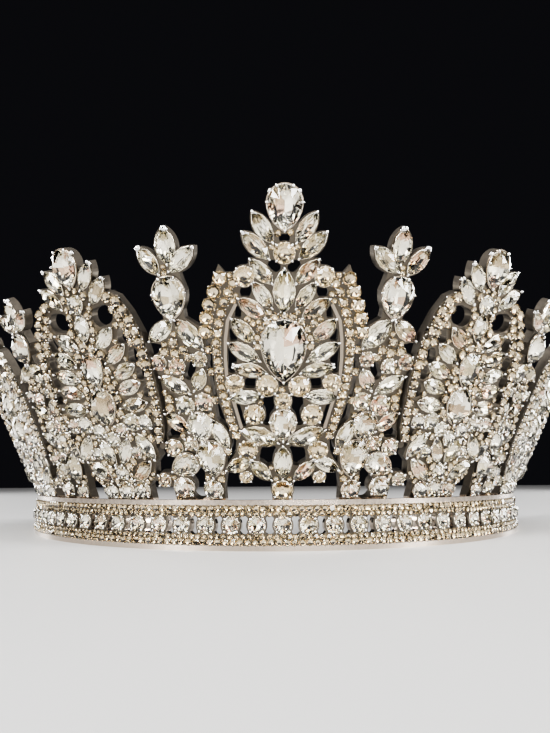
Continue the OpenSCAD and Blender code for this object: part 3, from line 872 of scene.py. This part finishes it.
# Height above the rim, diameter and number of the stones of each course, and whether the
# course starts half a step in
BAND_PAVE = ((0.75, 1.8, 160, True), (1.95, 1.35, 186, False))
for i in range(BAND_STONES):
    angle = (i + 0.5) * BAND_ARC / BAND_STONES - BAND_ARC / 2
    place = on_band(angle, BAND_H / 2)
    outline = round_outline(BAND_STONE_D)
    tipped = tilted(place, (0, 0), rng.uniform(-BAND_LEAN, BAND_LEAN),
                    rng.uniform(-BAND_LEAN, BAND_LEAN))
    cut_stone(field("band_stones"), tipped, outline, ((0, 0), (0, 0)), BAND_STONE_D, rng)
    ring_mesh(rims, place, outline * BAND_RIM_GROWTH, RIM)
    for a in (math.pi / 4 + k * math.pi / 2 for k in range(4)):
        bead(claws, place, 0.5 * BAND_STONE_D * math.cos(a), 0.5 * BAND_STONE_D * math.sin(a),
             BAND_CLAW_UP, *BAND_CLAW, turn=a)
for up, d, count, half_in in BAND_PAVE:
    for row_z in (RIM_H + up, BAND_H - RIM_H - up):
        for i in range(count):
            angle = (i + (0.5 if half_in else 0.0)) * BAND_ARC / count - BAND_ARC / 2
            # A stone at the very end would hang over the band's end
            if half_in or i > 0:
                tipped = tilted(on_band(angle, row_z), (0, 0),
                                rng.uniform(-BAND_PAVE_LEAN, BAND_PAVE_LEAN),
                                rng.uniform(-BAND_PAVE_LEAN, BAND_PAVE_LEAN))
                small_stone(pave, tipped, d, rng)

# Balls and points on the claws at the outline: across, up, diameter
FRONT_BALLS = [[3.05, 69.7, 1.1], [-3.05, 69.7, 1.1], [8.6, 61.2, 0.9], [-8.6, 61.2, 0.9],
               [11.1, 33, 0.9], [-11.1, 33, 0.9]]
FINIAL_BALLS = [[0.6, 63.4, 1.7], [-5.9, 59.9, 1.6], [6.2, 58.9, 1.1]]
SIDE_BALLS = [[2.9, 61.4, 1.1], [-2.9, 61.4, 1.1], [7.0, 58.3, 1.1], [-7.0, 58.3, 1.1],
              [9.6, 54.4, 1.0], [-9.6, 54.4, 1.0]]
for n in range(-LAST, LAST + 1):
    flip = -1 if kind(n) == 1 and n > 0 else 1
    for x, y, d in pick(n, FRONT_BALLS, FINIAL_BALLS, SIDE_BALLS):
        r = d * gem(n) / 2
        bead(balls, on_casting(n), flip * x * spread(n), y * rise(n), 0.1, r, r, r,
             sides=10, rings=6)

for name, build in fields.items():
    large = name.endswith("pear")
    materials = PAVE[:2] if name == "front_rounds" else STONES
    obj = build.make("cut_" + name, materials, "large_stones" if large else "small_stones")
    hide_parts(name)
fine.make("fine_stones", STONES, "small_stones")
pave.make("pave_stones", PAVE, "small_stones")
rims.make("stone_rims", [setting], "silver", smooth=True)
claws.make("claw_tips", [silver], "silver", smooth=True)
balls.make("claw_balls", [silver], "silver", smooth=True)
cups.make("setting_backs", [silver], "silver", smooth=True)

# Stage, light and camera


def plain_material(name, colour, roughness):
    material, _, shader = new_material(name)
    shader.inputs["Base Color"].default_value = colour
    shader.inputs["Roughness"].default_value = roughness
    return material


def plane(name, size, place, material):
    half = size / 2
    mesh = bpy.data.meshes.new(name)
    mesh.from_pydata([(-half, -half, 0), (half, -half, 0), (half, half, 0), (-half, half, 0)],
                     [], [(0, 1, 2, 3)])
    mesh.materials.append(material)
    obj = bpy.data.objects.new(name, mesh)
    obj.matrix_world = place
    bpy.context.scene.collection.objects.link(obj)
    obj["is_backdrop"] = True
    return obj


plane("floor", 1.8, Matrix.Translation((0, 0, 0)),
      plain_material("pale_floor", (0.5, 0.495, 0.49, 1), 0.5))


def softbox(name, place, target, size, power):
    data = bpy.data.lights.new(name, "AREA")
    data.shape = "RECTANGLE"
    data.size, data.size_y = size
    data.energy = power
    obj = bpy.data.objects.new(name, data)
    obj.location = place
    obj.rotation_euler = (Vector(target) - Vector(place)).to_track_quat("-Z", "Y").to_euler()
    obj.visible_camera = False
    bpy.context.scene.collection.objects.link(obj)


CENTRE = (0, -0.02, 0.04)
softbox("left_box", (-0.42, -0.5, 0.34), CENTRE, (0.14, 0.36), 10.0)
softbox("right_box", (0.5, -0.34, 0.25), CENTRE, (0.12, 0.36), 7.4)
softbox("front_low", (0.12, -0.6, 0.1), CENTRE, (0.3, 0.07), 1.9)
softbox("top_box", (0.05, -0.4, 0.6), CENTRE, (0.3, 0.16), 3.0)
softbox("top_fill", (0.0, -0.2, 0.8), CENTRE, (1.2, 0.9), 3.0)
softbox("back_left", (-0.5, 0.3, 0.16), CENTRE, (0.1, 0.3), 3.0)
softbox("back_right", (0.5, 0.3, 0.16), CENTRE, (0.1, 0.3), 3.0)

bpy.context.scene.view_settings.look = "AgX - Medium High Contrast"
bpy.context.scene.view_settings.exposure = -0.17

world = bpy.data.worlds.new("studio")
bpy.context.scene.world = world
world.use_nodes = True
world.node_tree.nodes["Background"].inputs["Color"].default_value = (0.01, 0.01, 0.012, 1)
world.node_tree.nodes["Background"].inputs["Strength"].default_value = 1.0

CAMERA_AT = (-0.0041, -0.2119, 0.0162)
YAW, PITCH, ROLL = (math.radians(v) for v in (1.1, 11.48, 0.3))
camera_data = bpy.data.cameras.new("camera")
camera_data.lens, camera_data.sensor_width = 27.0, 36.0
camera_data.clip_start, camera_data.clip_end = 0.01, 20
camera = bpy.data.objects.new("camera", camera_data)
forward = Vector((math.sin(YAW) * math.cos(PITCH), math.cos(YAW) * math.cos(PITCH),
                  math.sin(PITCH)))
right = Vector((math.cos(YAW), -math.sin(YAW), 0))
up = right.cross(forward)
right, up = (math.cos(ROLL) * right - math.sin(ROLL) * up,
             math.sin(ROLL) * right + math.cos(ROLL) * up)
camera.matrix_world = Matrix.Translation(CAMERA_AT) @ Matrix(
    (right, up, -forward)).transposed().to_4x4()
bpy.context.scene.collection.objects.link(camera)
bpy.context.scene.camera = camera
bpy.context.view_layer.update()

[[[float(v) for v in corner] for corner in box]
           for box in (cad_box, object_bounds())]
